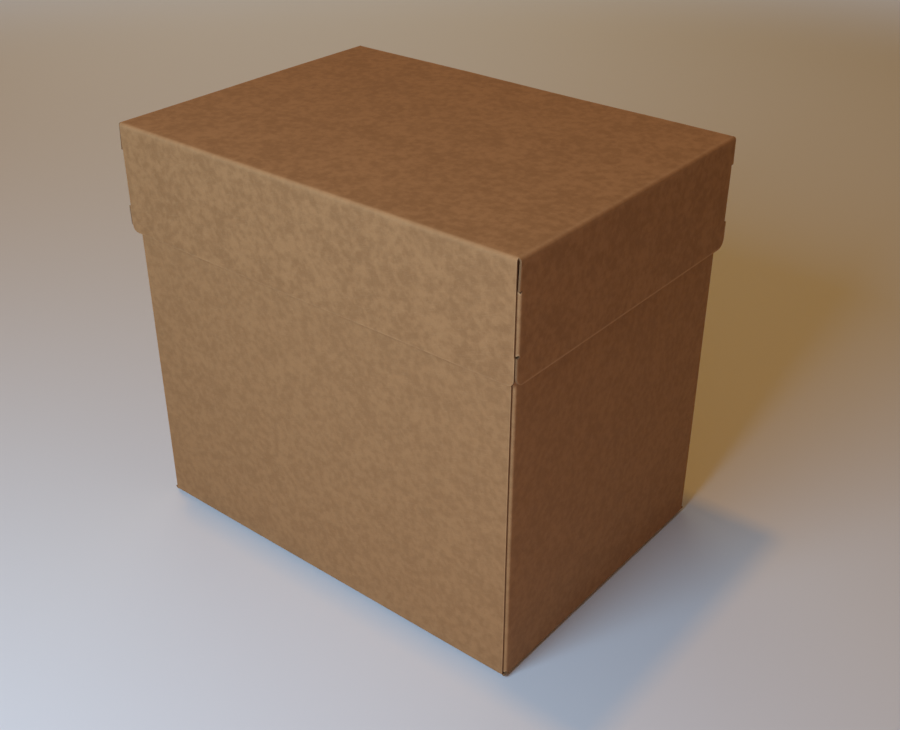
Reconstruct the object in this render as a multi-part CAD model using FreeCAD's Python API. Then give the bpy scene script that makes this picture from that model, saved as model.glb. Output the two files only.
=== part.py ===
import FreeCAD, Part
import math
import os
from dataclasses import dataclass

# Two-piece card box: a deep base tray and a lid that slides down over it, each folded from one sheet.
# Frame: origin at the middle of the underside, X along the long side, Y across it, Z up, millimetres.

# Board
board = 0.6
crease_inner_radius = 0.4
tab_fold_inner_radius = 0.1

# Space inside the base tray
inner_length = 150.0
inner_width = 106.0
inner_height = 139.0

# Fit of the lid over the base tray
lid_gap = 1.05
skirt_depth = 36.5

# Cut edges beside the folded corners
slit = 0.4
rim_slit = 0.2
end_edge_setback = 0.2
tab_root_kerf = 0.3
relief_punch_radius = 0.4

# Rounded corners at the open rim and at the tips of the glue tabs
long_wall_corner = 2.0
end_wall_corner = 3.0
tab_tip_corner = 2.0

# Corners of the base tray: glue tabs from near its bottom to near its rim
base_tab_start = 1.6
base_tab_rim_margin = 5.0
base_tab_reach = 22.0
base_tab_taper = 6.0
base_end_edge_relief = 0.3

# Corners of the lid: short glue tabs, with longer free flaps beside them
lid_tab_start = 9.2
lid_tab_rim_margin = 9.0
lid_tab_reach = 16.0
lid_tab_taper = 2.0
lid_end_edge_relief = 0.4

# Worked out from the sizes above
crease_radius = crease_inner_radius + board
tab_fold_radius = tab_fold_inner_radius + board
base_length = inner_length + 2 * board
base_width = inner_width + 2 * board
base_height = inner_height + board
lid_length = base_length + 2 * (lid_gap + board)
lid_width = base_width + 2 * (lid_gap + board)
box_height = base_height + board

X_AXIS = FreeCAD.Vector(1, 0, 0)
Y_AXIS = FreeCAD.Vector(0, 1, 0)
Z_AXIS = FreeCAD.Vector(0, 0, 1)


@dataclass
class Tray:
    """Sizes of one folded tray, which stands on its panel with its rim up and its centre on the Z axis."""

    length: float
    width: float
    depth: float
    tab_start: float
    tab_rim_margin: float
    tab_reach: float
    tab_taper: float
    end_edge_relief: float

    def __post_init__(self):
        self.half_length = self.length / 2
        self.half_width = self.width / 2
        self.tab_end = self.depth - self.tab_rim_margin
        # The tabs fold in behind the long walls, so their fold starts a board's thickness further in
        self.tab_fold = self.half_width - board - tab_fold_radius


def rounded_face(corners, across, up):
    """Flat face with the given corners (u, v, radius), where u runs along across and v along up."""
    points = [across * u + up * v for u, v, _ in corners]
    edges = []
    arcs = []
    for index, (_, _, radius) in enumerate(corners):
        corner = points[index]
        before = (points[index - 1] - corner).normalize()
        after = (points[(index + 1) % len(points)] - corner).normalize()
        if radius == 0:
            arcs.append((corner, corner))
            continue
        half_angle = before.getAngle(after) / 2
        start = corner + before * (radius / math.tan(half_angle))
        end = corner + after * (radius / math.tan(half_angle))
        inward = (before + after).normalize()
        middle = corner + inward * (radius / math.sin(half_angle) - radius)
        edges.append(Part.Arc(start, middle, end).toShape())
        arcs.append((start, end))
    for index, (_, leaving) in enumerate(arcs):
        arriving = arcs[(index + 1) % len(arcs)][0]
        edges.append(Part.makeLine(leaving, arriving))
    return Part.Face(Part.Wire(Part.__sortEdges__(edges)))


def fold_face(inner_radius, arm, start, out, up):
    """Section of board that leaves start along out, turns through a fold, and runs along up for arm."""
    outer_radius = inner_radius + board

    def point(u, v):
        return start + out * u + up * v

    def fold_arc(radius):
        half = radius * math.sqrt(0.5)
        first = point(0, outer_radius - radius)
        last = point(radius, outer_radius)
        return Part.Arc(first, point(half, outer_radius - half), last).toShape()

    edges = [
        fold_arc(outer_radius),
        Part.makeLine(point(outer_radius, outer_radius), point(outer_radius, arm)),
        Part.makeLine(point(outer_radius, arm), point(inner_radius, arm)),
        Part.makeLine(point(inner_radius, arm), point(inner_radius, outer_radius)),
        fold_arc(inner_radius),
        Part.makeLine(point(0, board), point(0, 0)),
    ]
    return Part.Face(Part.Wire(edges))


def panel(tray):
    """The flat bottom or top of a tray, out to where its folds start."""
    half_x = tray.half_length - crease_radius
    half_y = tray.half_width - crease_radius
    return Part.makeBox(2 * half_x, 2 * half_y, board, FreeCAD.Vector(-half_x, -half_y, 0))


def long_wall(tray, side):
    """A long wall, whose upright cut edges stop short of the folded corners."""
    crease = Y_AXIS * (side * (tray.half_width - crease_radius))
    fold = fold_face(crease_inner_radius, tray.depth, crease, Y_AXIS * side, Z_AXIS)
    fold.translate(X_AXIS * -tray.half_length)
    wall = fold.extrude(X_AXIS * (2 * tray.half_length))
    at_tabs = tray.half_length - tab_fold_radius - slit
    at_rim = tray.half_length - board - rim_slit
    half_outline = [
        (at_tabs, 0, 0),
        (at_tabs, tray.tab_end, 0),
        (at_rim, tray.tab_end + tab_root_kerf, 0),
        (at_rim, tray.depth, long_wall_corner),
    ]
    other_half = [(-u, v, radius) for u, v, radius in reversed(half_outline)]
    outline = rounded_face(half_outline + other_half, X_AXIS, Z_AXIS)
    outline.translate(Y_AXIS * -tray.half_width)
    return wall.common(outline.extrude(Y_AXIS * (2 * tray.half_width)))


def end_wall(tray, side):
    """An end wall, notched where its glue tabs turn the corners and free-edged above and below them."""
    crease = X_AXIS * (side * (tray.half_length - crease_radius))
    fold = fold_face(crease_inner_radius, tray.depth, crease, X_AXIS * side, Z_AXIS)
    fold.translate(Y_AXIS * -tray.half_width)
    wall = fold.extrude(Y_AXIS * (2 * tray.half_width))
    at_tabs = tray.half_width - end_edge_setback
    at_panel = at_tabs - tray.end_edge_relief
    half_outline = [
        (at_panel, 0, 0),
        (at_tabs, tray.tab_start - tab_root_kerf, 0),
        (tray.tab_fold, tray.tab_start - tab_root_kerf, 0),
        (tray.tab_fold, tray.tab_end + tab_root_kerf, 0),
        (at_tabs, tray.tab_end + tab_root_kerf, 0),
        (at_tabs, tray.depth, end_wall_corner),
    ]
    other_half = [(-u, v, radius) for u, v, radius in reversed(half_outline)]
    outline = rounded_face(half_outline + other_half, Y_AXIS, Z_AXIS)
    outline.translate(X_AXIS * -tray.half_length)
    return wall.common(outline.extrude(X_AXIS * (2 * tray.half_length)))


def glue_tab(tray, side, hand):
    """A tab that turns off an end wall through an upright fold and lies glued inside a long wall."""
    start = X_AXIS * (side * tray.half_length) + Y_AXIS * (hand * tray.tab_fold)
    fold = fold_face(tab_fold_inner_radius, tray.tab_reach, start, Y_AXIS * hand, X_AXIS * -side)
    tab = fold.extrude(Z_AXIS * tray.depth)
    root = tray.half_length
    tip = tray.half_length - tray.tab_reach
    outline = rounded_face(
        [
            (root, tray.tab_start, 0),
            (root, tray.tab_end, 0),
            (root - tab_fold_radius, tray.tab_end, 0),
            (tip, tray.tab_end - tray.tab_taper, tab_tip_corner),
            (tip, tray.tab_start + tray.tab_taper, tab_tip_corner),
            (root - tab_fold_radius, tray.tab_start, 0),
        ],
        X_AXIS * side,
        Z_AXIS,
    )
    outline.translate(Y_AXIS * -tray.half_width)
    return tab.common(outline.extrude(Y_AXIS * (2 * tray.half_width)))


def relief_punches(tray, side, hand):
    """The two round punches at the ends of a tab's fold, which keep the board from tearing there."""
    inward = FreeCAD.Vector(-side, -hand, 0).normalize()
    fold_centre = FreeCAD.Vector(side * (tray.half_length - tab_fold_radius), hand * tray.tab_fold, 0)
    outside = fold_centre - inward * (2 * tab_fold_radius)
    return [
        Part.makeCylinder(relief_punch_radius, 3 * tab_fold_radius, outside + Z_AXIS * height, inward)
        for height in (tray.tab_start, tray.tab_end)
    ]


def folded_tray(tray):
    """One sheet of board, creased, folded up and glued at its four corners."""
    walls = []
    punches = []
    for side in (-1, 1):
        walls.append(long_wall(tray, side))
        walls.append(end_wall(tray, side))
        for hand in (-1, 1):
            walls.append(glue_tab(tray, side, hand))
            punches += relief_punches(tray, side, hand)
    folded = panel(tray).fuse(walls)
    return folded.cut(punches).removeSplitter().Solids[0]


def base_tray():
    """The deep tray that holds the contents and stands on its panel."""
    sizes = Tray(
        length=base_length,
        width=base_width,
        depth=base_height,
        tab_start=base_tab_start,
        tab_rim_margin=base_tab_rim_margin,
        tab_reach=base_tab_reach,
        tab_taper=base_tab_taper,
        end_edge_relief=base_end_edge_relief,
    )
    return folded_tray(sizes)


def lid():
    """The shallow tray turned upside down, whose panel rests on the base tray's rim."""
    sizes = Tray(
        length=lid_length,
        width=lid_width,
        depth=skirt_depth,
        tab_start=lid_tab_start,
        tab_rim_margin=lid_tab_rim_margin,
        tab_reach=lid_tab_reach,
        tab_taper=lid_tab_taper,
        end_edge_relief=lid_end_edge_relief,
    )
    tray = folded_tray(sizes)
    tray.rotate(FreeCAD.Vector(0, 0, 0), X_AXIS, 180)
    tray.translate(Z_AXIS * box_height)
    return tray


os.makedirs("parts", exist_ok=True)
for name, shape in (("base_tray", base_tray()), ("lid", lid())):
    shape.exportStep(f"parts/{name}.step")
    print(name, shape.ShapeType, shape.isValid(), round(shape.Volume, 1), shape.BoundBox)
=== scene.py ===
import math
from dataclasses import dataclass

import bmesh
import bpy
from bpy.props import FloatProperty, FloatVectorProperty, IntProperty, PointerProperty
from mathutils import Matrix, Vector, noise


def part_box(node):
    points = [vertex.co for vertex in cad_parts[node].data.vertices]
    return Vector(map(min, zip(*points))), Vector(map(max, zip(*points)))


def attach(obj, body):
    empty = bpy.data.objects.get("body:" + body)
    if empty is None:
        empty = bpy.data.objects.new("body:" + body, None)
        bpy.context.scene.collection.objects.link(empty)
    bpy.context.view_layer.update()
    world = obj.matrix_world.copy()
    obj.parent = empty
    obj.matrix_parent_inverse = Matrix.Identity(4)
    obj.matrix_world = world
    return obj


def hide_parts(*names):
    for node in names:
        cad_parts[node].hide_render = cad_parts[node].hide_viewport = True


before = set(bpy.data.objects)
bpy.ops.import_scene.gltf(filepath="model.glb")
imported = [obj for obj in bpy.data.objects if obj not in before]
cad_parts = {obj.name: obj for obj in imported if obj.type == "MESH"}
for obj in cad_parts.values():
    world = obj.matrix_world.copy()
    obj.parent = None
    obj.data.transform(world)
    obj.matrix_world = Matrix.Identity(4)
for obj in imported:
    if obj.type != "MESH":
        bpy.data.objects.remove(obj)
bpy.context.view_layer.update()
base_low, base_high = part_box("base_tray")
lid_low, lid_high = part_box("lid")

bl_info = {
    "name": "Card Box with Lift-off Lid",
    "version": (1, 0, 0),
    "blender": (4, 5, 0),
    "location": "3D View > Sidebar > Card Box",
    "description": "Folds the two sheets of a kraft card box and sets them on a plain stage",
    "category": "Add Mesh",
}


# Settings

def size(name, description, default):
    """A length that can't be negative."""
    return FloatProperty(
        name=name,
        description=description,
        default=default,
        min=0.0,
        precision=5,
        subtype="DISTANCE",
        unit="LENGTH",
    )


def shift(name, description, default):
    """A length to one side or the other."""
    return FloatProperty(
        name=name,
        description=description,
        default=default,
        precision=5,
        subtype="DISTANCE",
        unit="LENGTH",
    )


def angle(name, description, degrees):
    """An angle, given in degrees."""
    return FloatProperty(
        name=name,
        description=description,
        default=math.radians(degrees),
        subtype="ANGLE",
        unit="ROTATION",
    )


def number(name, description, default):
    """A plain number that can't be negative."""
    return FloatProperty(name=name, description=description, default=default, min=0.0)


def share(name, description, default):
    """A share from 0 to 1."""
    return FloatProperty(
        name=name,
        description=description,
        default=default,
        min=0.0,
        max=1.0,
        subtype="FACTOR",
    )


def power(name, description, default):
    """The power of a lamp in watts."""
    return FloatProperty(
        name=name,
        description=description,
        default=default,
        min=0.0,
        unit="POWER",
    )


def colour(name, description, default):
    """A colour in linear values."""
    return FloatVectorProperty(
        name=name,
        description=description,
        default=default,
        size=3,
        min=0.0,
        max=1.0,
        subtype="COLOR",
    )


class BoardSettings(bpy.types.PropertyGroup):
    """The board and how it is cut and creased, the same for both sheets."""

    thickness: size("Thickness", "Thickness of the board", 0.0006)
    crease_inner_radius: size("Crease radius", "Radius inside a fold round the panel", 0.0004)
    tab_fold_inner_radius: size("Tab fold radius", "Radius inside the fold of a glue tab", 0.0001)
    slit: size("Slit", "Gap between a long wall's upright edge and a tab's fold", 0.0003)
    rim_slit: size("Rim slit", "Gap between a long wall's edge and the free flap at the rim", 0.0002)
    end_edge_setback: size("Flap setback", "How far a free flap stops short of the corner", 0.0002)
    tab_root_kerf: size("Kerf", "Cut between a glue tab and the flap beside it", 0.0003)
    relief_punch_radius: size("Punch radius", "Radius of the round punch at a tab's root", 0.0004)
    long_wall_corner: size("Long wall corner", "Corner radius at the rim of a long wall", 0.002)
    end_wall_corner: size("End wall corner", "Corner radius at the rim of an end wall", 0.003)
    tab_tip_corner: size("Tab corner", "Corner radius at the tip of a glue tab", 0.002)
    glue_line: size("Glue line", "Film of glue between a tab and its long wall", 0.00003)
    mesh_step: size("Mesh step", "Largest spacing of mesh points over a flat wall", 0.003)
    fold_steps: IntProperty(name="Fold steps", description="Facets round a fold", default=8, min=2)


class BaseTraySettings(bpy.types.PropertyGroup):
    """The deep tray that holds the contents."""

    length: size("Length", "Outer length", base_high.x - base_low.x)
    width: size("Width", "Outer width", base_high.y - base_low.y)
    depth: size("Depth", "Height of the walls", base_high.z - base_low.z)
    tab_start: size("Tab start", "Height at which the glue tabs start", 0.0014)
    tab_rim_margin: size("Tab margin", "How far the glue tabs end below the rim", 0.005)
    tab_reach: size("Tab reach", "How far a glue tab runs along the long wall", 0.022)
    tab_taper: size("Tab taper", "How much a glue tab narrows on each side", 0.006)
    end_edge_relief: size("Edge relief", "How much narrower an end wall is at its crease", 0.0001)


class LidSettings(bpy.types.PropertyGroup):
    """The shallow tray turned upside down."""

    length: size("Length", "Outer length", lid_high.x - lid_low.x)
    width: size("Width", "Outer width", lid_high.y - lid_low.y)
    depth: size("Depth", "Depth of the skirt", lid_high.z - lid_low.z)
    tab_start: size("Tab start", "Distance of the glue tabs from the top", 0.0092)
    tab_rim_margin: size("Tab margin", "How far the glue tabs end from the rim", 0.009)
    tab_reach: size("Tab reach", "How far a glue tab runs along the long wall", 0.016)
    tab_taper: size("Tab taper", "How much a glue tab narrows on each side", 0.002)
    end_edge_relief: size("Edge relief", "How much narrower an end wall is at its crease", 0.0004)


class FinishSettings(bpy.types.PropertyGroup):
    """The look of the kraft board."""

    board: colour("Board", "Middle tone of the board", (0.353, 0.172, 0.061))
    # The dark cloud colour is also used for the painted shade inside the folds.
    dark_cloud_and_fold_shade: colour("Dark cloud and fold shade", "Dark end of the paper's cloudy tone", (0.292, 0.139, 0.047))
    pale_cloud: colour("Pale cloud", "Pale end of the paper's cloudy tone", (0.415, 0.211, 0.079))
    # Also the dark end of the cut edge, whose darkness is partly painted shade.
    dark_fibre_and_gap_shade: colour("Dark fibre and gap shade", "Bark flecks in the paper", (0.176, 0.084, 0.029))
    pale_fibre: colour("Pale fibre", "Long pale fibres in the paper", (0.490, 0.275, 0.117))
    worn: colour("Worn board", "Board where a crease has rubbed pale", (0.480, 0.266, 0.111))
    frayed: colour("Frayed board", "Board along a cut edge, where fibres stand up", (0.620, 0.366, 0.169))
    # The cut edge is darker than the skins, partly its own colour and partly painted shade for the gaps at
    # the corners.
    core: colour("Core and gap shade", "Plies seen at a cut edge", (0.310, 0.165, 0.070))
    roughness: share("Roughness", "Roughness of the bare board", 0.82)
    base_cloudiness: share("Base cloudiness", "How much of the cloudy tone the base tray shows", 0.64)
    lid_cloudiness: share("Lid cloudiness", "How much of the cloudy tone the lid shows", 0.8)
    base_rubbing: share("Base rubbing", "How pale the base tray's folds have rubbed", 0.18)
    lid_rubbing: share("Lid rubbing", "How pale the lid's folds have rubbed", 0.42)
    fraying: share("Fraying", "How strongly the standing fibres show along a cut edge", 0.6)
    # Strength of the painted shade that darkens the inside of each fold.
    painted_fold_shade: share("Painted fold shade", "How dark the board is pressed inside a fold", 0.3)
    grain_strength: share("Grain strength", "How strongly the fine grain shows", 0.3)
    fibre_strength: share("Fibre strength", "How strongly the pale fibres show", 0.2)
    fleck_strength: share("Fleck strength", "How strongly the bark flecks show", 0.34)
    relief: share("Relief", "Strength of the paper's bump", 0.25)
    relief_height: size("Relief height", "Height of the paper's bump", 0.00009)
    cloud_size: size("Cloud size", "Size of the paper's small clouds", 0.0024)
    fibre_length: size("Fibre length", "Length of a fibre", 0.0026)


class StageSettings(bpy.types.PropertyGroup):
    """Camera, floor and lamps."""

    azimuth: angle("Azimuth", "Turn of the camera round the box", 39.002)
    elevation: angle("Elevation", "Height of the camera above the horizon", 30.671)
    roll: angle("Roll", "Roll of the camera", 0.148)
    distance: size("Distance", "Distance of the camera from the middle of the underside", 0.43909)
    aim_right: shift("Aim right", "Sideways offset of the camera", 0.008541)
    aim_up: shift("Aim up", "Upward offset of the camera", 0.048559)
    focal_share: number("Focal share", "Focal length as a share of the picture's width", 1203.9 / 900)
    floor_colour: colour("Floor", "Colour of the floor", (0.77, 0.81, 0.81))
    floor_gap: size("Floor gap", "How far the floor lies below the underside", 0.0008)
    floor_half_size: size("Floor half size", "Half the side of the floor", 3.0)
    key_power: power("Key power", "Power of the soft lamp in front", 2.16)
    key_colour: colour("Key colour", "Tint of the soft lamp in front", (0.48, 0.71, 1.00))
    top_power: power("Top power", "Power of the soft lamp overhead", 3.71)
    top_colour: colour("Top colour", "Tint of the lamp overhead", (1.00, 0.45, 0.02))
    low_power: power("Low power", "Power of the low lamp in front", 0.2)
    low_colour: colour("Low colour", "Tint of the low lamp in front", (1.00, 0.62, 0.75))
    back_power: power("Back power", "Power of the soft lamp behind", 0.62)
    back_colour: colour("Back colour", "Tint of the soft lamp behind", (1.00, 0.77, 0.26))
    far_power: power("Far power", "Power of the lamp over the floor behind the box", 0.5)
    far_colour: colour("Far colour", "Tint of the lamp over the floor behind the box", (0.40, 0.64, 1.00))
    world_strength: number("World strength", "Strength of the even light all round", 0.16)
    world_colour: colour("World colour", "Tint of the even light all round", (1.00, 0.54, 0.19))
    backdrop_colour: colour("Backdrop", "Colour seen behind the floor", (0.40, 0.375, 0.365))
    backdrop_start: size("Backdrop start", "Distance at which the floor starts to fade away", 0.62)
    backdrop_end: size("Backdrop end", "Distance at which only the backdrop is seen", 1.1)


class CardBoxSettings(bpy.types.PropertyGroup):
    """All settings of the box and its stage."""

    board: PointerProperty(type=BoardSettings)
    base_tray: PointerProperty(type=BaseTraySettings)
    lid: PointerProperty(type=LidSettings)
    finish: PointerProperty(type=FinishSettings)
    stage: PointerProperty(type=StageSettings)


# The folded sheets

tolerance = 1e-7
rounding_allowance = 1e-6
micrometres_per_metre = 1e6
sharp_angle = math.radians(50)


def spread(start, end, step):
    """Evenly spaced values from start to end, both ends in, no further apart than step."""
    count = max(1, math.ceil(abs(end - start) / step - rounding_allowance))
    return [start + (end - start) * index / count for index in range(count + 1)]


def spread_through(stops, step):
    """Values through all the stops, with each stretch evenly divided."""
    values = [stops[0]]
    for start, end in zip(stops, stops[1:]):
        values += spread(start, end, step)[1:]
    return values


def quarter(start, radius, steps):
    """Values from start to start + radius, spaced as the rows of a rounded corner."""
    return [start + radius * math.sin(math.pi / 2 * index / steps) for index in range(1, steps + 1)]


@dataclass
class Station:
    """One line across a folded strip: both skins' places in its section, and the flat distance."""

    out: float
    up: float
    inner_out: float
    inner_up: float
    flat: float


class Tray:
    """Sizes of one tray, with the outlines of its walls as they are cut."""

    def __init__(self, cut, board):
        self.board = board.thickness
        self.radius = board.crease_inner_radius + board.thickness
        self.tab_radius = board.tab_fold_inner_radius + board.thickness
        self.steps = board.fold_steps
        self.mesh_step = board.mesh_step
        self.kerf = board.tab_root_kerf
        self.punch = board.relief_punch_radius
        self.long_corner = board.long_wall_corner
        self.end_corner = board.end_wall_corner
        self.tip_corner = board.tab_tip_corner
        self.half_length = cut.length / 2
        self.half_width = cut.width / 2
        self.depth = cut.depth
        self.tab_start = cut.tab_start
        self.tab_end = cut.depth - cut.tab_rim_margin
        self.tab_reach = cut.tab_reach
        self.tab_taper = cut.tab_taper
        self.tab_fold = self.half_width - board.thickness - board.glue_line - self.tab_radius
        self.long_edge = self.half_length - self.tab_radius - board.slit
        self.rim_edge = self.half_length - board.thickness - board.rim_slit
        self.end_edge = self.half_width - board.end_edge_setback
        self.relief = cut.end_edge_relief

    def fold_length(self, radius):
        """Flat length of a fold of this outer radius, along the middle of the board."""
        return (radius - self.board / 2) * math.pi / 2

    def section(self, radius, reaches):
        """Stations round a fold of this outer radius and on to each of the reaches beyond it."""
        inner_radius = radius - self.board
        length = self.fold_length(radius)
        stations = []
        for index in range(self.steps + 1):
            turn = math.pi / 2 * index / self.steps
            stations.append(
                Station(
                    radius * math.sin(turn),
                    radius * (1 - math.cos(turn)),
                    inner_radius * math.sin(turn),
                    radius - inner_radius * math.cos(turn),
                    length * index / self.steps,
                )
            )
        for reach in reaches:
            stations.append(Station(radius, reach, inner_radius, reach, length + reach - radius))
        return stations

    def rim_inset(self, height, corner):
        """How much a wall is narrower at this height because its rim corner is rounded."""
        above = height - (self.depth - corner)
        if above <= 0:
            return 0.0
        return corner - math.sqrt(max(0.0, corner**2 - above**2))

    def long_half(self, height):
        """Half the length of a long wall at this height."""
        past_tab = min(1.0, max(0.0, (height - self.tab_end) / self.kerf))
        edge = self.long_edge + (self.rim_edge - self.long_edge) * past_tab
        return edge - self.rim_inset(height, self.long_corner)

    def end_half(self, height):
        """Half the width of an end wall's free part at this height."""
        toward_crease = max(0.0, 1 - height / (self.tab_start - self.kerf))
        return self.end_edge - self.relief * toward_crease - self.rim_inset(height, self.end_corner)

    def flap_parts(self):
        """Where the lines up a free flap stand, as parts of its width. One meets the panel's corner."""
        width = self.end_half(0) - self.tab_fold
        corner = (self.half_width - self.radius - self.tab_fold) / width
        beyond = [corner + (1 - corner) * part for part in (0.25, 0.5, 0.75, 1.0)]
        return [corner / 2, corner, *beyond]


class FoldedSheet:
    """Both skins of one folded sheet, in patches that join where they meet, with its cut edges."""

    def __init__(self):
        self.places = {}
        self.outer = []
        self.inner = []
        self.flat = []
        self.crease = []
        self.rim = []
        self.faces = []

    def point(self, outer, inner, flat, crease, rim):
        """Index of the point at this place on the outer skin."""
        key = tuple(round(value * micrometres_per_metre) for value in outer)
        if key not in self.places:
            self.places[key] = len(self.outer)
            self.outer.append(Vector(outer))
            self.inner.append(Vector(inner))
            self.flat.append(flat)
            self.crease.append(crease)
            self.rim.append(rim)
        return self.places[key]

    def patch(self, rows, keep=lambda row, column: True):
        """Adds the faces between rows of points, as point takes them, except where the sheet is cut away."""
        for row in range(len(rows) - 1):
            for column in range(len(rows[row]) - 1):
                if not keep(row, column):
                    continue
                near, far = rows[row], rows[row + 1]
                corners = (near[column], near[column + 1], far[column + 1], far[column])
                self.faces.append([self.point(*corner) for corner in corners])

    def free_edges(self):
        """Edges of the skin that only one face uses, each as that face runs along it."""
        found = {}
        for face in self.faces:
            for start, end in zip(face, face[1:] + face[:1]):
                key = frozenset((start, end))
                found[key] = None if key in found else (start, end)
        return [edge for edge in found.values() if edge]

    def mesh(self, name, place):
        """The closed mesh of the sheet, each point put where place says."""
        count = len(self.outer)
        moved = [place(outer, inner) for outer, inner in zip(self.outer, self.inner)]
        points = [outer for outer, _ in moved] + [inner for _, inner in moved]
        faces = [list(face) for face in self.faces]
        faces += [[index + count for index in reversed(face)] for face in self.faces]
        skins = len(faces)
        faces += [[end, start, start + count, end + count] for start, end in self.free_edges()]
        mesh = bpy.data.meshes.new(name)
        mesh.from_pydata(points, [], faces)
        solid = bmesh.new()
        solid.from_mesh(mesh)
        bmesh.ops.recalc_face_normals(solid, faces=solid.faces)
        solid.to_mesh(mesh)
        solid.free()
        mesh.polygons.foreach_set("material_index", [0] * skins + [1] * (len(faces) - skins))
        mesh.polygons.foreach_set("use_smooth", [True] * len(faces))
        blank = mesh.uv_layers.new(name="blank")
        for loop in mesh.loops:
            blank.uv[loop.index].vector = self.flat[loop.vertex_index % count]
        self.mask(mesh, "board_depth", [0.0] * count + [1.0] * count)
        self.mask(mesh, "crease", self.crease * 2)
        self.mask(mesh, "rim", self.rim * 2)
        mesh.validate()
        mesh.set_sharp_from_angle(angle=sharp_angle)
        return mesh

    @staticmethod
    def mask(mesh, name, values):
        """Stores a value at each point, for the materials to read."""
        mesh.attributes.new(name, "FLOAT", "POINT").data.foreach_set("value", values)


# Wear along folds and cut edges, and painted shade inside folds: how far it reaches, and its strength at
# long walls and at tabs

crease_half_width = 0.0010
rim_width = 0.0010
long_rim_share = 0.46
tab_crease_share = 0.55


def crease_mask(distance):
    """1 in the middle of a fold, falling to 0 beside it."""
    return math.exp(-((distance / crease_half_width) ** 2))


def rim_mask(distance):
    """1 at a free cut edge, falling to 0 a little way in."""
    return max(0.0, 1 - distance / rim_width)


# Patches of a folded sheet, with closer lines of mesh points toward its corners

corner_lines_long = (0.0045, 0.0032, 0.0021)
corner_lines_end = (0.006, 0.0042, 0.0029, 0.0020)
tab_end_lines = (0.0006, 0.0014, 0.003)
kerf_line = 0.0008
least_flap = 0.002
corner_steps = 6


def panel(sheet, tray, columns, rows):
    """The flat panel between the folds."""
    edge_x = tray.half_length - tray.radius
    edge_y = tray.half_width - tray.radius
    half_fold = tray.fold_length(tray.radius) / 2
    grid = []
    for y in rows:
        line = []
        for x in columns:
            nearest = min(edge_x - abs(x), edge_y - abs(y)) + half_fold
            line.append(((x, y, 0), (x, y, tray.board), (x, y), crease_mask(nearest), 0.0))
        grid.append(line)
    sheet.patch(grid)


def long_columns(tray, height):
    """Where the lines up a long wall stand at this height, from end to end."""
    at_crease = tray.long_half(0)
    fixed, *nearer = [tray.half_length - line for line in corner_lines_long]
    stops = [*nearer, at_crease]
    width = tray.long_half(height)
    outer = [fixed + (x - fixed) / (at_crease - fixed) * (width - fixed) for x in stops]
    middle = spread(-fixed, fixed, tray.mesh_step)
    return [-x for x in reversed(outer)] + middle + outer


def end_columns(tray, height):
    """Where the lines up an end wall stand at this height, flaps beyond the tabs' folds in."""
    fixed, *nearer = [tray.half_width - line for line in corner_lines_end]
    inset = tray.rim_inset(height, tray.end_corner)
    width = tray.end_half(height) + inset
    flap = [tray.tab_fold + part * (width - tray.tab_fold) for part in tray.flap_parts()]
    outer = [*nearer, tray.tab_fold, *flap]
    squeeze = (width - inset - fixed) / (width - fixed)
    outer = [fixed + (y - fixed) * squeeze for y in outer]
    middle = spread(-fixed, fixed, tray.mesh_step)
    return [-y for y in reversed(outer)] + middle + outer


def wall_heights(tray, corner):
    """Heights of the lines across a wall above its fold, shared by the tabs."""
    below = tray.tab_start - tray.kerf
    above = tray.tab_end + tray.kerf
    round_from = tray.depth - corner
    stops = [tray.radius]
    if below - tray.radius > least_flap:
        stops += [tray.radius + line for line in tab_end_lines[:2]]
        stops += [below - kerf_line]
    stops += [below, tray.tab_start]
    stops += [tray.tab_start + line for line in tab_end_lines]
    stops += [tray.tab_end - line for line in reversed(tab_end_lines)]
    stops += [tray.tab_end, above]
    if round_from - above > 2 * kerf_line:
        stops += [above + kerf_line]
    stops += [round_from]
    return spread_through(stops, tray.mesh_step)[1:] + quarter(round_from, corner, corner_steps)


def long_wall(sheet, tray, side):
    """A long wall with its fold, between upright cut edges."""
    fold_line = tray.half_width - tray.radius
    grid = []
    for station in tray.section(tray.radius, wall_heights(tray, tray.long_corner)):
        line = []
        columns = long_columns(tray, station.up)
        for x in columns:
            free = min(columns[-1] - abs(x), tray.depth - station.up)
            line.append(
                (
                    (x, side * (fold_line + station.out), station.up),
                    (x, side * (fold_line + station.inner_out), station.inner_up),
                    (x, side * (fold_line + station.flat)),
                    crease_mask(station.flat - tray.fold_length(tray.radius) / 2),
                    long_rim_share * rim_mask(free),
                )
            )
        grid.append(line)
    sheet.patch(grid)


def punch_notch(tray, y):
    """How deep the round punch bites into the flap beside a tab's root."""
    away = abs(abs(y) - (tray.tab_fold + tray.tab_radius)) / math.sqrt(2)
    return max(0.0, math.sqrt(max(0.0, tray.punch**2 - away**2)) - tray.kerf)


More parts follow.
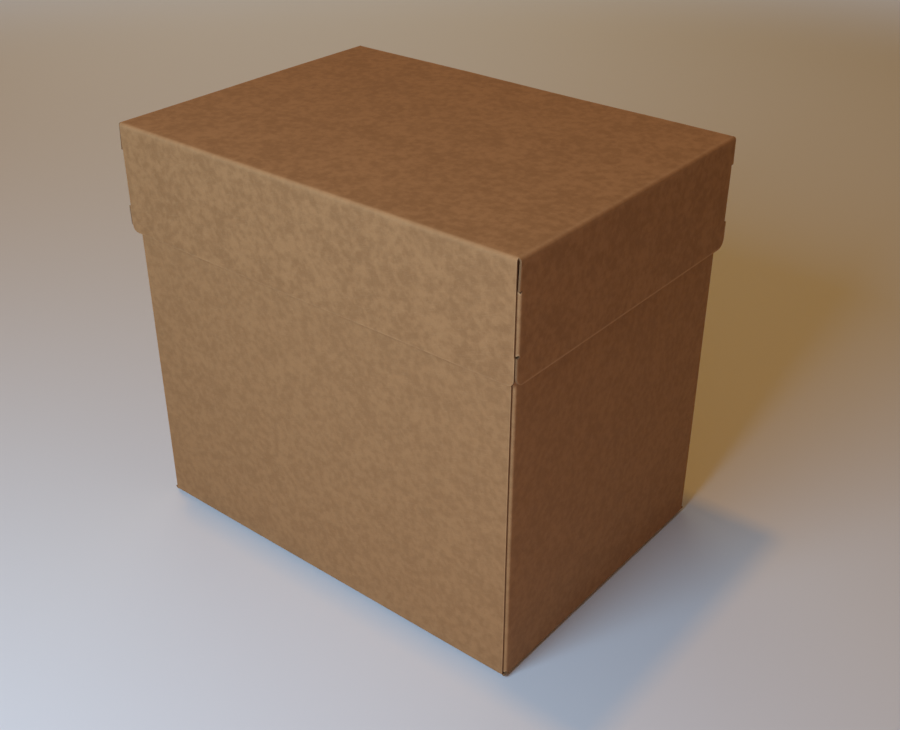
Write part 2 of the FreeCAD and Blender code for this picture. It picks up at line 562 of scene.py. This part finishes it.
def end_wall(sheet, tray, side):
    """An end wall with its fold, and with free flaps above and below the glue tabs that leave it."""
    fold_line = tray.half_length - tray.radius
    below, above = tray.tab_start - tray.kerf, tray.tab_end + tray.kerf
    flap_columns = len(tray.flap_parts())
    stations = tray.section(tray.radius, wall_heights(tray, tray.end_corner))
    grid = []
    for station in stations:
        line = []
        columns = end_columns(tray, station.up)
        for y in columns:
            height, inner_height = station.up, station.inner_up
            if abs(y) > tray.tab_fold and abs(height - below) < tolerance:
                height = inner_height = below - punch_notch(tray, y)
            if abs(y) > tray.tab_fold and abs(height - above) < tolerance:
                height = inner_height = above + punch_notch(tray, y)
            at_fold = station.flat - tray.fold_length(tray.radius) / 2
            at_tab = tray.tab_fold + tray.fold_length(tray.tab_radius) / 2 - abs(y)
            beside_tab = tray.tab_start <= station.up <= tray.tab_end
            at_crease = station.up < 2 * tray.radius
            free = min(columns[-1] - abs(y), tray.depth - station.up)
            tab_crease = tab_crease_share * crease_mask(at_tab) if beside_tab else 0.0
            line.append(
                (
                    (side * (fold_line + station.out), y, height),
                    (side * (fold_line + station.inner_out), y, inner_height),
                    (side * (fold_line + station.flat), y),
                    max(crease_mask(at_fold), tab_crease),
                    0.0 if beside_tab or at_crease else rim_mask(free),
                )
            )
        grid.append(line)
    last = len(grid[0]) - 1

    def is_board(row, column):
        if flap_columns <= column < last - flap_columns:
            return True
        middle = (stations[row].up + stations[row + 1].up) / 2
        return middle < below or middle > above

    sheet.patch(grid, is_board)


def glue_tab(sheet, tray, side, hand):
    """A tab that turns off an end wall and lies behind a long wall."""
    tip = tray.half_length - tray.tab_reach
    root = tray.half_length - tray.tab_radius
    middle = (tray.tab_start + tray.tab_end) / 2
    half_height = (tray.tab_end - tray.tab_start) / 2
    heights = [z for z in wall_heights(tray, tray.end_corner) if abs(z - middle) <= half_height + tolerance]
    straight = spread(tray.tab_radius, tray.tab_reach - tray.tip_corner, tray.mesh_step)[1:]
    reaches = straight + quarter(tray.tab_reach - tray.tip_corner, tray.tip_corner, corner_steps)
    fold_end = tray.half_length - tray.radius + tray.fold_length(tray.radius)
    grid = []
    for index, station in enumerate(tray.section(tray.tab_radius, reaches)):
        x = tray.half_length - station.up
        inner_x = tray.half_length - station.inner_up
        narrowed = tray.tab_taper * max(0.0, (root - x) / (root - tip))
        from_tip = x - tip
        if from_tip < tray.tip_corner:
            reach = tray.tip_corner - from_tip
            narrowed += tray.tip_corner - math.sqrt(max(0.0, tray.tip_corner**2 - reach**2))
        bite = 0.0
        if 0 < index < tray.steps:
            away = tray.tab_radius * math.sin(math.pi / 2 * (index / tray.steps - 0.5))
            bite = math.sqrt(max(0.0, tray.punch**2 - away**2))
        line = []
        for height in heights:
            from_middle = height - middle
            z = middle + from_middle * (1 - narrowed / half_height)
            near_end = max(0.0, 1 - (half_height - abs(from_middle)) / tab_end_lines[-1])
            z -= math.copysign(bite * near_end, from_middle)
            line.append(
                (
                    (side * x, hand * (tray.tab_fold + station.out), z),
                    (side * inner_x, hand * (tray.tab_fold + station.inner_out), z),
                    (side * (fold_end + z - tray.radius), hand * (tray.tab_fold + station.flat)),
                    tab_crease_share * crease_mask(station.flat - tray.fold_length(tray.tab_radius) / 2),
                    rim_mask(min(half_height - abs(from_middle), from_tip)),
                )
            )
        grid.append(line)
    sheet.patch(grid)


def folded_sheet(tray):
    """One sheet folded into a tray that stands on its panel."""
    sheet = FoldedSheet()
    corner_x = tray.half_length - tray.radius
    corner_y = tray.half_width - tray.radius
    columns = [x for x in long_columns(tray, 0) if abs(x) < corner_x - tolerance]
    rows = [y for y in end_columns(tray, 0) if abs(y) < corner_y - tolerance]
    panel(sheet, tray, [-corner_x, *columns, corner_x], [-corner_y, *rows, corner_y])
    for side in (-1, 1):
        long_wall(sheet, tray, side)
        end_wall(sheet, tray, side)
        for hand in (-1, 1):
            glue_tab(sheet, tray, side, hand)
    return sheet


# How hand-folded board departs from true

wave_length = 0.045
wave_height = 0.00012
wave_shift = 9.1
wave_pattern = 3.7
settled_height = 0.02


def uneven(place):
    """Slow waves of the board, the same field for both trays, so that what touches keeps touching."""
    shifts = [Vector((wave_shift * axis, wave_pattern, 0.0)) for axis in range(3)]
    wave = Vector([noise.noise(place / wave_length + shift) for shift in shifts])
    wave.z *= min(1.0, max(0.0, place.z / settled_height))
    return place + wave * wave_height


def sheet_object(name, sheet, to_box, body, node, materials):
    """Makes the object of a folded sheet in place of its CAD node."""

    def place(outer, inner):
        outer_in_box, inner_in_box = to_box @ outer, to_box @ inner
        moved = uneven(outer_in_box) - outer_in_box
        return outer_in_box + moved, inner_in_box + moved

    made = bpy.data.objects.new(name, sheet.mesh(name, place))
    bpy.context.scene.collection.objects.link(made)
    for material in materials:
        made.data.materials.append(material)
    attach(made, body)
    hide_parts(node)
    return made


# Node helpers

def feed(tree, socket, value):
    """Links the value to the socket if it is another node's output, and otherwise sets it there."""
    if isinstance(value, bpy.types.NodeSocket):
        tree.links.new(value, socket)
    else:
        socket.default_value = value


def add(tree, kind, inputs=None, **values):
    """Adds a node, sets its values and feeds its inputs."""
    node = tree.nodes.new(kind)
    for name, value in values.items():
        setattr(node, name, value)
    for name, value in (inputs or {}).items():
        feed(tree, node.inputs[name], value)
    return node


def group(name, inputs, outputs):
    """A new shader node group with its sockets, and its input and output nodes."""
    tree = bpy.data.node_groups.new(name, "ShaderNodeTree")
    for label, kind, default in inputs:
        socket = tree.interface.new_socket(label, in_out="INPUT", socket_type=kind)
        if default is not None:
            socket.default_value = default
    for label, kind in outputs:
        tree.interface.new_socket(label, in_out="OUTPUT", socket_type=kind)
    return tree, tree.nodes.new("NodeGroupInput"), tree.nodes.new("NodeGroupOutput")


def place_group(tree, name, inputs):
    """Puts a node group into a material with its own values."""
    return add(tree, "ShaderNodeGroup", inputs, node_tree=bpy.data.node_groups[name])


def maths(tree, operation, first, second=0.0, clamp=False):
    """Result of one operation on two numbers or sockets."""
    node = tree.nodes.new("ShaderNodeMath")
    node.operation = operation
    node.use_clamp = clamp
    for socket, value in zip(node.inputs, (first, second)):
        feed(tree, socket, value)
    return node.outputs[0]


def remap(tree, value, low, high, to_low=0.0, to_high=1.0):
    """Stretches low..high to to_low..to_high, held at both ends."""
    inputs = {"Value": value, "From Min": low, "From Max": high, "To Min": to_low, "To Max": to_high}
    return add(tree, "ShaderNodeMapRange", inputs, interpolation_type="SMOOTHSTEP").outputs["Result"]


# Places of the sockets that a Mix node uses for colours

factor_socket = 0
first_socket = 6
second_socket = 7
colour_result = 2


def mix_colour(tree, mask, first, second):
    """Colour that goes from first to second, each a colour or a socket, where the mask goes from 0 to 1."""
    node = tree.nodes.new("ShaderNodeMix")
    node.data_type = "RGBA"
    tree.links.new(mask, node.inputs[factor_socket])
    for index, value in ((first_socket, first), (second_socket, second)):
        is_output = isinstance(value, bpy.types.NodeSocket)
        feed(tree, node.inputs[index], value if is_output else (*value, 1.0))
    return node.outputs[colour_result]


def speckle(tree, vector, scale, detail, roughness=0.5, distortion=0.0):
    """Soft noise, about 0.5 on average."""
    inputs = {
        "Vector": vector,
        "Scale": scale,
        "Detail": detail,
        "Roughness": roughness,
        "Distortion": distortion,
    }
    return add(tree, "ShaderNodeTexNoise", inputs).outputs["Fac"]


# Paper effects used by every board material

def paper_clouds_group():
    """Cloudy tone of paper pulp, in two sizes, and its fine grain."""
    small_part = 0.68
    large_scale = 0.28
    grain_scale = 5.5
    tree, source, sink = group(
        "Paper clouds",
        [("Vector", "NodeSocketVector", None), ("Size", "NodeSocketFloat", 0.003)],
        [("Clouds", "NodeSocketFloat"), ("Grain", "NodeSocketFloat")],
    )
    vector = source.outputs["Vector"]
    density = maths(tree, "DIVIDE", 1.0, source.outputs["Size"])
    small = speckle(tree, vector, density, detail=3.0, roughness=0.55)
    large = speckle(tree, vector, maths(tree, "MULTIPLY", density, large_scale), detail=2.0)
    grain = speckle(tree, vector, maths(tree, "MULTIPLY", density, grain_scale), detail=2.0, roughness=0.6)
    small_tone = maths(tree, "MULTIPLY", small, small_part)
    large_tone = maths(tree, "MULTIPLY", large, 1 - small_part)
    tree.links.new(maths(tree, "ADD", small_tone, large_tone), sink.inputs["Clouds"])
    tree.links.new(grain, sink.inputs["Grain"])


def paper_fibres_group():
    """Thin fibres along one direction of the sheet, more of them as Share rises."""
    barest_edge = 0.78
    edge_per_share = 0.36
    softness = 0.07
    tree, source, sink = group(
        "Paper fibres",
        [
            ("Vector", "NodeSocketVector", None),
            ("Length", "NodeSocketFloat", 0.003),
            ("Slenderness", "NodeSocketFloat", 14.0),
            ("Direction", "NodeSocketFloat", 0.0),
            ("Share", "NodeSocketFloat", 0.2),
        ],
        [("Fibres", "NodeSocketFloat")],
    )
    turned = add(
        tree,
        "ShaderNodeVectorRotate",
        {"Vector": source.outputs["Vector"], "Angle": source.outputs["Direction"]},
        rotation_type="Z_AXIS",
    ).outputs["Vector"]
    along = maths(tree, "DIVIDE", 1.0, source.outputs["Length"])
    across = maths(tree, "MULTIPLY", along, source.outputs["Slenderness"])
    scale = add(tree, "ShaderNodeCombineXYZ", {"X": along, "Y": across, "Z": across}).outputs["Vector"]
    stretched = add(tree, "ShaderNodeVectorMath", operation="MULTIPLY")
    tree.links.new(turned, stretched.inputs[0])
    tree.links.new(scale, stretched.inputs[1])
    streaks = speckle(tree, stretched.outputs["Vector"], 1.0, detail=1.0, distortion=0.35)
    lowered = maths(tree, "MULTIPLY", source.outputs["Share"], edge_per_share)
    edge = maths(tree, "SUBTRACT", barest_edge, lowered)
    fibres = remap(tree, streaks, edge, maths(tree, "ADD", edge, softness))
    tree.links.new(fibres, sink.inputs["Fibres"])


def wear_and_painted_shade_group():
    """Where folds have rubbed pale and cut edges fray, broken up as wear is, and the painted shade inside
    each fold.
    """
    patch_scale = 420.0
    usual_fraying = 0.8
    fold_range = (0.02, 0.4)
    edge_range = (0.2, 0.8)
    tree, source, sink = group(
        "Crease wear and painted shade",
        [
            ("Vector", "NodeSocketVector", None),
            ("Crease", "NodeSocketFloat", 0.0),
            ("Rim", "NodeSocketFloat", 0.0),
            ("Depth", "NodeSocketFloat", 0.0),
            ("Patchiness", "NodeSocketFloat", 0.5),
        ],
        [("Worn", "NodeSocketFloat"), ("Frayed", "NodeSocketFloat"), ("Painted shade", "NodeSocketFloat")],
    )
    patches = speckle(tree, source.outputs["Vector"], patch_scale, detail=4.0)
    patchy = maths(tree, "MULTIPLY", maths(tree, "SUBTRACT", patches, 0.5), source.outputs["Patchiness"])
    outside = maths(tree, "SUBTRACT", 1.0, source.outputs["Depth"], clamp=True)
    on_fold = maths(tree, "MULTIPLY", source.outputs["Crease"], outside)
    broken_up = maths(tree, "MULTIPLY", patchy, remap(tree, on_fold, *fold_range))
    worn = maths(tree, "ADD", on_fold, broken_up, clamp=True)
    at_edge = remap(tree, source.outputs["Rim"], *edge_range)
    frayed = maths(tree, "MULTIPLY", at_edge, maths(tree, "ADD", patchy, usual_fraying), clamp=True)
    # Painted shade: darkens the inner skin along each fold.
    painted_shade = maths(tree, "MULTIPLY", source.outputs["Crease"], source.outputs["Depth"], clamp=True)
    tree.links.new(worn, sink.inputs["Worn"])
    tree.links.new(frayed, sink.inputs["Frayed"])
    tree.links.new(painted_shade, sink.inputs["Painted shade"])


def sheet_vector(tree, pattern):
    """Place on the flat sheet in metres, with the inside and each sheet on patterns of their own."""
    inside_shift = 0.0006
    flat = add(tree, "ShaderNodeUVMap", uv_map="blank").outputs["UV"]
    depth = add(tree, "ShaderNodeAttribute", attribute_name="board_depth").outputs["Fac"]
    height = maths(tree, "ADD", maths(tree, "MULTIPLY", depth, inside_shift), pattern)
    lifted = add(tree, "ShaderNodeCombineXYZ", {"Z": height}).outputs["Vector"]
    moved = add(tree, "ShaderNodeVectorMath", operation="ADD")
    tree.links.new(flat, moved.inputs[0])
    tree.links.new(lifted, moved.inputs[1])
    return moved.outputs["Vector"], depth


def new_material(name):
    """A material with its Principled shader and output, linked."""
    material = bpy.data.materials.new(name)
    material.use_nodes = True
    tree = material.node_tree
    tree.nodes.clear()
    shader = tree.nodes.new("ShaderNodeBsdfPrincipled")
    output = tree.nodes.new("ShaderNodeOutputMaterial")
    tree.links.new(shader.outputs["BSDF"], output.inputs["Surface"])
    return material, tree, shader, output


def fibre_masks(tree, vector, length):
    """Masks of the long fibres along the sheet, the long fibres across it, and the short bark flecks."""
    masks = []
    for part, slenderness, direction, how_many in (
        (1.0, 16.0, 0.35, 0.42),
        (0.8, 13.0, 2.0, 0.36),
        (0.5, 4.5, 1.1, 0.16),
    ):
        inputs = {
            "Vector": vector,
            "Length": length * part,
            "Slenderness": slenderness,
            "Direction": direction,
            "Share": how_many,
        }
        masks.append(place_group(tree, "Paper fibres", inputs).outputs["Fibres"])
    return masks


def wear_and_painted_shade_masks(tree, vector, depth):
    """Masks of rubbed folds, frayed cut edges and the painted shade inside folds."""
    inputs = {
        "Vector": vector,
        "Crease": add(tree, "ShaderNodeAttribute", attribute_name="crease").outputs["Fac"],
        "Rim": add(tree, "ShaderNodeAttribute", attribute_name="rim").outputs["Fac"],
        "Depth": depth,
        "Patchiness": 0.7,
    }
    wear = place_group(tree, "Crease wear and painted shade", inputs)
    return [wear.outputs[label] for label in ("Worn", "Frayed", "Painted shade")]


def kraft_material(name, finish, pattern, cloudiness, rubbing):
    """Bare kraft board: clouds, grain, pale and dark fibres, and pale worn creases, with painted shade
    inside the folds.
    """
    cloud_range = (0.36, 0.64)
    grain_range = (0.3, 0.7)
    rough_change = 0.08
    cloud_relief = 0.9
    fibre_relief = 0.35
    material, tree, shader, _ = new_material(name)
    vector, depth = sheet_vector(tree, pattern)
    paper = place_group(tree, "Paper clouds", {"Vector": vector, "Size": finish.cloud_size})
    clouds, grain = paper.outputs["Clouds"], paper.outputs["Grain"]
    along, across, flecks = fibre_masks(tree, vector, finish.fibre_length)
    fibres = maths(tree, "MAXIMUM", along, across)
    worn, frayed, painted_shade = wear_and_painted_shade_masks(tree, vector, depth)

    tone = remap(tree, clouds, *cloud_range, 0.5 - cloudiness / 2, 0.5 + cloudiness / 2)
    tint = mix_colour(tree, tone, finish.dark_cloud_and_fold_shade, finish.pale_cloud)
    for mask, strength, shade in (
        (remap(tree, grain, *grain_range), finish.grain_strength, finish.board),
        (fibres, finish.fibre_strength, finish.pale_fibre),
        (flecks, finish.fleck_strength, finish.dark_fibre_and_gap_shade),
        (worn, rubbing, finish.worn),
        (frayed, finish.fraying, finish.frayed),
        # Painted shade inside the folds, in the dark cloud colour.
        (painted_shade, finish.painted_fold_shade, finish.dark_cloud_and_fold_shade),
    ):
        tint = mix_colour(tree, maths(tree, "MULTIPLY", mask, strength), tint, shade)
    tree.links.new(tint, shader.inputs["Base Color"])

    smoothest = finish.roughness - rough_change / 2
    rough = maths(tree, "ADD", maths(tree, "MULTIPLY", tone, rough_change), smoothest)
    rough = maths(tree, "ADD", rough, maths(tree, "MULTIPLY", worn, rough_change), clamp=True)
    tree.links.new(rough, shader.inputs["Roughness"])
    height = maths(tree, "ADD", maths(tree, "MULTIPLY", clouds, cloud_relief), grain)
    height = maths(tree, "ADD", height, maths(tree, "MULTIPLY", fibres, fibre_relief))
    relief = {"Height": height, "Strength": finish.relief, "Distance": finish.relief_height}
    tree.links.new(add(tree, "ShaderNodeBump", relief).outputs["Normal"], shader.inputs["Normal"])
    shader.inputs["Specular IOR Level"].default_value = 0.35
    return material


def cut_edge_material(name, finish, pattern):
    """The board's cut edge: crushed plies and torn fibre ends, darker than the skins partly in its own
    colour and partly as painted shade for the dark slots and gaps at the corners.
    """
    torn_size = 0.0011
    ply_turns = 17.0
    ply_wander = 3.0
    ply_part = 0.25
    tone_range = (0.2, 0.8)
    rough_range = (0.86, 0.95)
    material, tree, shader, _ = new_material(name)
    vector, depth = sheet_vector(tree, pattern)
    torn = place_group(tree, "Paper clouds", {"Vector": vector, "Size": torn_size})
    clouds, grain = torn.outputs["Clouds"], torn.outputs["Grain"]
    wander = maths(tree, "MULTIPLY", maths(tree, "SUBTRACT", clouds, 0.5), ply_wander)
    plies = maths(tree, "SINE", maths(tree, "ADD", maths(tree, "MULTIPLY", depth, ply_turns), wander))
    tone = remap(tree, maths(tree, "ADD", maths(tree, "MULTIPLY", plies, ply_part), grain), *tone_range)
    # Partly painted shade: the cut edge runs darker than the skins, standing in for the shade in the slots
    # and gaps at the corners.
    tree.links.new(mix_colour(tree, tone, finish.dark_fibre_and_gap_shade, finish.core), shader.inputs["Base Color"])
    tree.links.new(remap(tree, grain, *tone_range, *rough_range), shader.inputs["Roughness"])
    relief = {"Height": tone, "Strength": 0.7, "Distance": 0.00008}
    tree.links.new(add(tree, "ShaderNodeBump", relief).outputs["Normal"], shader.inputs["Normal"])
    shader.inputs["Specular IOR Level"].default_value = 0.25
    return material


def board_materials(prefix, finish, pattern, cloudiness, rubbing):
    """Skin and cut edge of one sheet, with the shared effects made once."""
    for name, make in (
        ("Paper clouds", paper_clouds_group),
        ("Paper fibres", paper_fibres_group),
        ("Crease wear and painted shade", wear_and_painted_shade_group),
    ):
        if name not in bpy.data.node_groups:
            make()
    return [
        kraft_material(f"{prefix} kraft board", finish, pattern, cloudiness, rubbing),
        cut_edge_material(f"{prefix} cut edge", finish, pattern),
    ]


# The stage

floor_unevenness = 0.97


def floor_material(stage):
    """A pale matt floor with a faint unevenness, which the camera sees fade into the backdrop far away."""
    material, tree, shader, output = new_material("Pale floor")
    place = add(tree, "ShaderNodeTexCoord").outputs["Object"]
    pale = tuple(stage.floor_colour)
    deeper = tuple(value * floor_unevenness for value in pale)
    drift = speckle(tree, place, 3.0, detail=2.0)
    tree.links.new(mix_colour(tree, drift, deeper, pale), shader.inputs["Base Color"])
    shader.inputs["Roughness"].default_value = 0.6
    shader.inputs["Specular IOR Level"].default_value = 0.2
    away = add(tree, "ShaderNodeVectorMath", {0: place}, operation="LENGTH").outputs["Value"]
    far_off = remap(tree, away, stage.backdrop_start, stage.backdrop_end)
    by_camera = add(tree, "ShaderNodeLightPath").outputs["Is Camera Ray"]
    backdrop = add(tree, "ShaderNodeEmission", {"Color": (*stage.backdrop_colour, 1.0)})
    mixed = tree.nodes.new("ShaderNodeMixShader")
    tree.links.new(maths(tree, "MULTIPLY", far_off, by_camera), mixed.inputs[0])
    tree.links.new(shader.outputs["BSDF"], mixed.inputs[1])
    tree.links.new(backdrop.outputs["Emission"], mixed.inputs[2])
    tree.links.new(mixed.outputs["Shader"], output.inputs["Surface"])
    return material


def add_floor(stage):
    """The floor, a little below the underside, so that a thin dark line shows round the box."""
    half = stage.floor_half_size
    level = -stage.floor_gap
    corners = [(-half, -half, level), (half, -half, level), (half, half, level), (-half, half, level)]
    mesh = bpy.data.meshes.new("floor")
    mesh.from_pydata(corners, [], [(0, 1, 2, 3)])
    floor = bpy.data.objects.new("floor", mesh)
    bpy.context.scene.collection.objects.link(floor)
    mesh.materials.append(floor_material(stage))


def add_lamp(name, place, aim, extent, watts, tint, beam=math.pi):
    """A soft rectangular lamp at place, turned to aim."""
    light = bpy.data.lights.new(name, "AREA")
    light.shape = "RECTANGLE"
    light.size, light.size_y = extent
    light.energy = watts
    light.color = tint
    light.spread = beam
    lamp = bpy.data.objects.new(name, light)
    bpy.context.scene.collection.objects.link(lamp)
    lamp.location = place
    lamp.rotation_euler = (Vector(aim) - Vector(place)).to_track_quat("-Z", "Y").to_euler()
    lamp.visible_camera = False


# Where the lamps stand, what they are turned to and how large they are, in metres

box_aim = (0.0, 0.0, 0.05)
key_place = (0.025, -0.423, 0.33)
key_extent = (0.24, 0.24)
top_place = (-0.245, -0.013, 1.54)
top_extent = (0.09, 0.09)
low_place = (0.285, -0.408, 0.105)
low_extent = (0.26, 0.18)
back_place = (-0.64, 0.60, 0.46)
back_extent = (0.75, 0.60)
far_place = (-0.75, 0.60, 0.60)
far_aim = (-0.62, 0.42, 0.0)
far_extent = (0.60, 0.60)
far_beam = math.radians(120)


def add_lamps(stage):
    """Two cool lamps in front and far behind, and three warm ones overhead, low in front and behind."""
    add_lamp("key lamp", key_place, box_aim, key_extent, stage.key_power, stage.key_colour)
    add_lamp("overhead lamp", top_place, box_aim, top_extent, stage.top_power, stage.top_colour)
    add_lamp("low lamp", low_place, box_aim, low_extent, stage.low_power, stage.low_colour)
    add_lamp("back lamp", back_place, box_aim, back_extent, stage.back_power, stage.back_colour)
    add_lamp("far lamp", far_place, far_aim, far_extent, stage.far_power, stage.far_colour, far_beam)


def add_world(stage):
    """Even warm light all round, which the camera sees as the plain backdrop."""
    world = bpy.data.worlds.new("Studio")
    bpy.context.scene.world = world
    world.use_nodes = True
    tree = world.node_tree
    tree.nodes.clear()
    seen = add(tree, "ShaderNodeBackground", {"Color": (*stage.backdrop_colour, 1.0)})
    glow = {"Color": (*stage.world_colour, 1.0), "Strength": stage.world_strength}
    light = add(tree, "ShaderNodeBackground", glow)
    by_camera = add(tree, "ShaderNodeLightPath").outputs["Is Camera Ray"]
    mixed = tree.nodes.new("ShaderNodeMixShader")
    tree.links.new(by_camera, mixed.inputs[0])
    tree.links.new(light.outputs[0], mixed.inputs[1])
    tree.links.new(seen.outputs[0], mixed.inputs[2])
    output = tree.nodes.new("ShaderNodeOutputWorld")
    tree.links.new(mixed.outputs[0], output.inputs["Surface"])


sensor_millimetres = 36.0


def add_camera(stage):
    """The camera, placed round the middle of the underside."""
    back = Vector(
        (
            math.sin(stage.azimuth) * math.cos(stage.elevation),
            -math.cos(stage.azimuth) * math.cos(stage.elevation),
            math.sin(stage.elevation),
        )
    )
    right = (-back).cross(Vector((0, 0, 1))).normalized()
    up = right.cross(-back)
    rolled_right = math.cos(stage.roll) * right + math.sin(stage.roll) * up
    rolled_up = math.cos(stage.roll) * up - math.sin(stage.roll) * right
    lens = bpy.data.cameras.new("camera")
    lens.sensor_width = sensor_millimetres
    lens.lens = stage.focal_share * sensor_millimetres
    lens.clip_start = 0.01
    lens.clip_end = 50.0
    camera = bpy.data.objects.new("camera", lens)
    bpy.context.scene.collection.objects.link(camera)
    turn = Matrix((rolled_right, rolled_up, back)).transposed().to_4x4()
    place = back * stage.distance + rolled_right * stage.aim_right + rolled_up * stage.aim_up
    camera.matrix_world = Matrix.Translation(place) @ turn
    bpy.context.scene.camera = camera


# Operators and panel

base_pattern = 0.31
lid_pattern = 1.72


class CARDBOX_OT_stage(bpy.types.Operator):
    """Add the camera, the pale floor and the soft studio light"""

    bl_idname = "card_box.stage"
    bl_label = "Stage"

    def execute(self, context):
        stage = context.scene.card_box.stage
        context.scene.view_settings.view_transform = "Standard"
        add_floor(stage)
        add_world(stage)
        add_camera(stage)
        add_lamps(stage)
        return {"FINISHED"}


class CARDBOX_OT_base_tray(bpy.types.Operator):
    """Fold the sheet of the deep base tray"""

    bl_idname = "card_box.base_tray"
    bl_label = "Base tray"

    def execute(self, context):
        box = context.scene.card_box
        finish = box.finish
        sheet = folded_sheet(Tray(box.base_tray, box.board))
        materials = board_materials(
            "Base", finish, base_pattern, finish.base_cloudiness, finish.base_rubbing
        )
        in_place = Matrix.Identity(4)
        sheet_object("base_sheet", sheet, in_place, "base", "base_tray", materials)
        return {"FINISHED"}


class CARDBOX_OT_lid(bpy.types.Operator):
    """Fold the sheet of the lid and set it upside down over the base tray"""

    bl_idname = "card_box.lid"
    bl_label = "Lid"

    def execute(self, context):
        box = context.scene.card_box
        finish = box.finish
        sheet = folded_sheet(Tray(box.lid, box.board))
        materials = board_materials("Lid", finish, lid_pattern, finish.lid_cloudiness, finish.lid_rubbing)
        turned_over = Matrix.Translation((0, 0, lid_high.z)) @ Matrix.Rotation(math.pi, 4, "X")
        sheet_object("lid_sheet", sheet, turned_over, "cover", "lid", materials)
        return {"FINISHED"}


class CARDBOX_PT_sidebar(bpy.types.Panel):
    """Settings and operators of the card box"""

    bl_idname = "CARDBOX_PT_sidebar"
    bl_label = "Card Box"
    bl_space_type = "VIEW_3D"
    bl_region_type = "UI"
    bl_category = "Card Box"

    def draw(self, context):
        box = context.scene.card_box
        for title, settings in (
            ("Board", box.board),
            ("Base tray", box.base_tray),
            ("Lid", box.lid),
            ("Finish", box.finish),
            ("Stage", box.stage),
        ):
            column = self.layout.box().column()
            column.label(text=title)
            for name in settings.__annotations__:
                column.prop(settings, name)
        for operator in (CARDBOX_OT_stage, CARDBOX_OT_base_tray, CARDBOX_OT_lid):
            self.layout.operator(operator.bl_idname)


classes = (
    BoardSettings,
    BaseTraySettings,
    LidSettings,
    FinishSettings,
    StageSettings,
    CardBoxSettings,
    CARDBOX_OT_stage,
    CARDBOX_OT_base_tray,
    CARDBOX_OT_lid,
    CARDBOX_PT_sidebar,
)


def register():
    for cls in classes:
        bpy.utils.register_class(cls)
    bpy.types.Scene.card_box = PointerProperty(type=CardBoxSettings)


def unregister():
    del bpy.types.Scene.card_box
    for cls in reversed(classes):
        bpy.utils.unregister_class(cls)


def main():
    register()
    bpy.ops.card_box.stage()
    bpy.ops.card_box.base_tray()
    bpy.ops.card_box.lid()


if __name__ == "__main__":
    main()
